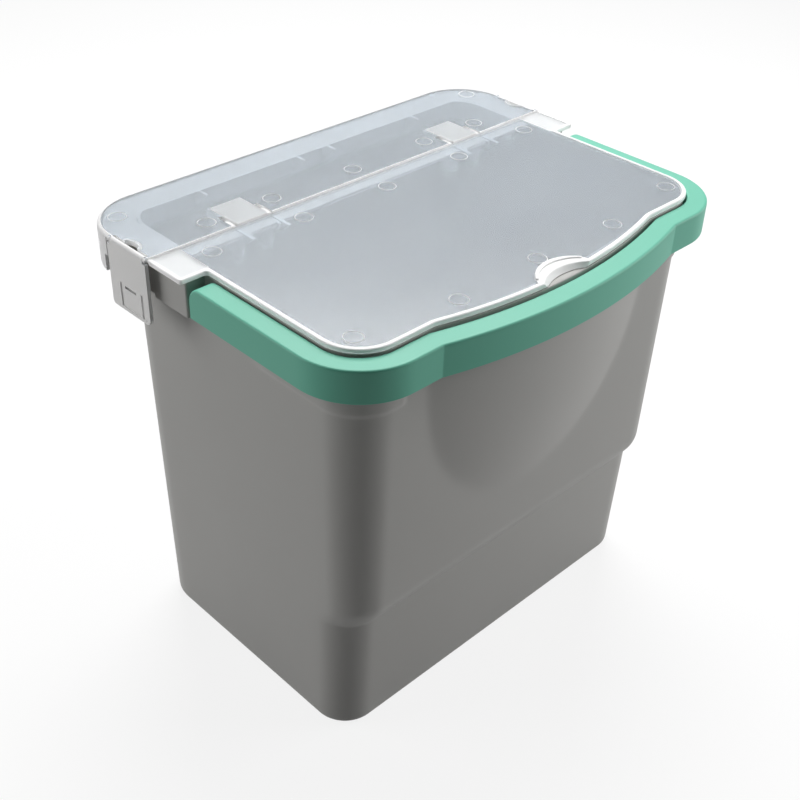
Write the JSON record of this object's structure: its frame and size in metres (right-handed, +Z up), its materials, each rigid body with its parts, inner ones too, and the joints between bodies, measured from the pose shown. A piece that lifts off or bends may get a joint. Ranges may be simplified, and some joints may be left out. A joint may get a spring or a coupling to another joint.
{
  "type": "lidded bucket",
  "caption": "Rectangular plastic bucket with a bowed front, a swinging carrying handle and a clear lift-off lid with a hinged front flap and side latches",
  "frame": {"origin": "middle of the bounding box, on the flat underside of the tub", "axes": "+X to the right seen from the front, +Y to the rear, +Z up; the bow, the handle's bar and the flap are at the front, -Y"},
  "size_m": [0.3012, 0.231, 0.2692],
  "materials": {
    "tub_plastic": "satin warm grey polypropylene",
    "handle_plastic": "matte mint green polypropylene",
    "lid_plastic": "frosted translucent polypropylene"
  },
  "bodies": {
    "tub": {"bucket_tub": "tub_plastic", "rim_flange": "tub_plastic"},
    "handle": {"carry_handle": "handle_plastic"},
    "lid": {"rear_lid": "lid_plastic"},
    "flap": {"front_flap": "lid_plastic"},
    "left_latch": {"latch_left": "lid_plastic"},
    "right_latch": {"latch_right": "lid_plastic"}
  },
  "joints": [
    {"name": "handle_swing", "type": "hinge", "parent": "tub", "child": "handle", "pos_m": [0, 0.008, 0.256], "axis": [-1, 0, 0], "range_deg": [0, 90]},
    {"name": "lid_lift", "type": "slide", "parent": "tub", "child": "lid", "axis": [0, 0, 1], "range_m": [0, 0.06]},
    {"name": "flap_hinge", "type": "hinge", "parent": "lid", "child": "flap", "pos_m": [0, 0.0539, 0.2635], "axis": [-1, 0, 0], "range_deg": [0, 100]},
    {"name": "left_latch_hinge", "type": "hinge", "parent": "lid", "child": "left_latch", "pos_m": [-0.1489, 0.06575, 0.2669], "axis": [0, 1, 0], "range_deg": [0, 90]},
    {"name": "right_latch_hinge", "type": "hinge", "parent": "lid", "child": "right_latch", "pos_m": [0.1489, 0.06575, 0.2669], "axis": [0, -1, 0], "range_deg": [0, 90]}
  ]
}
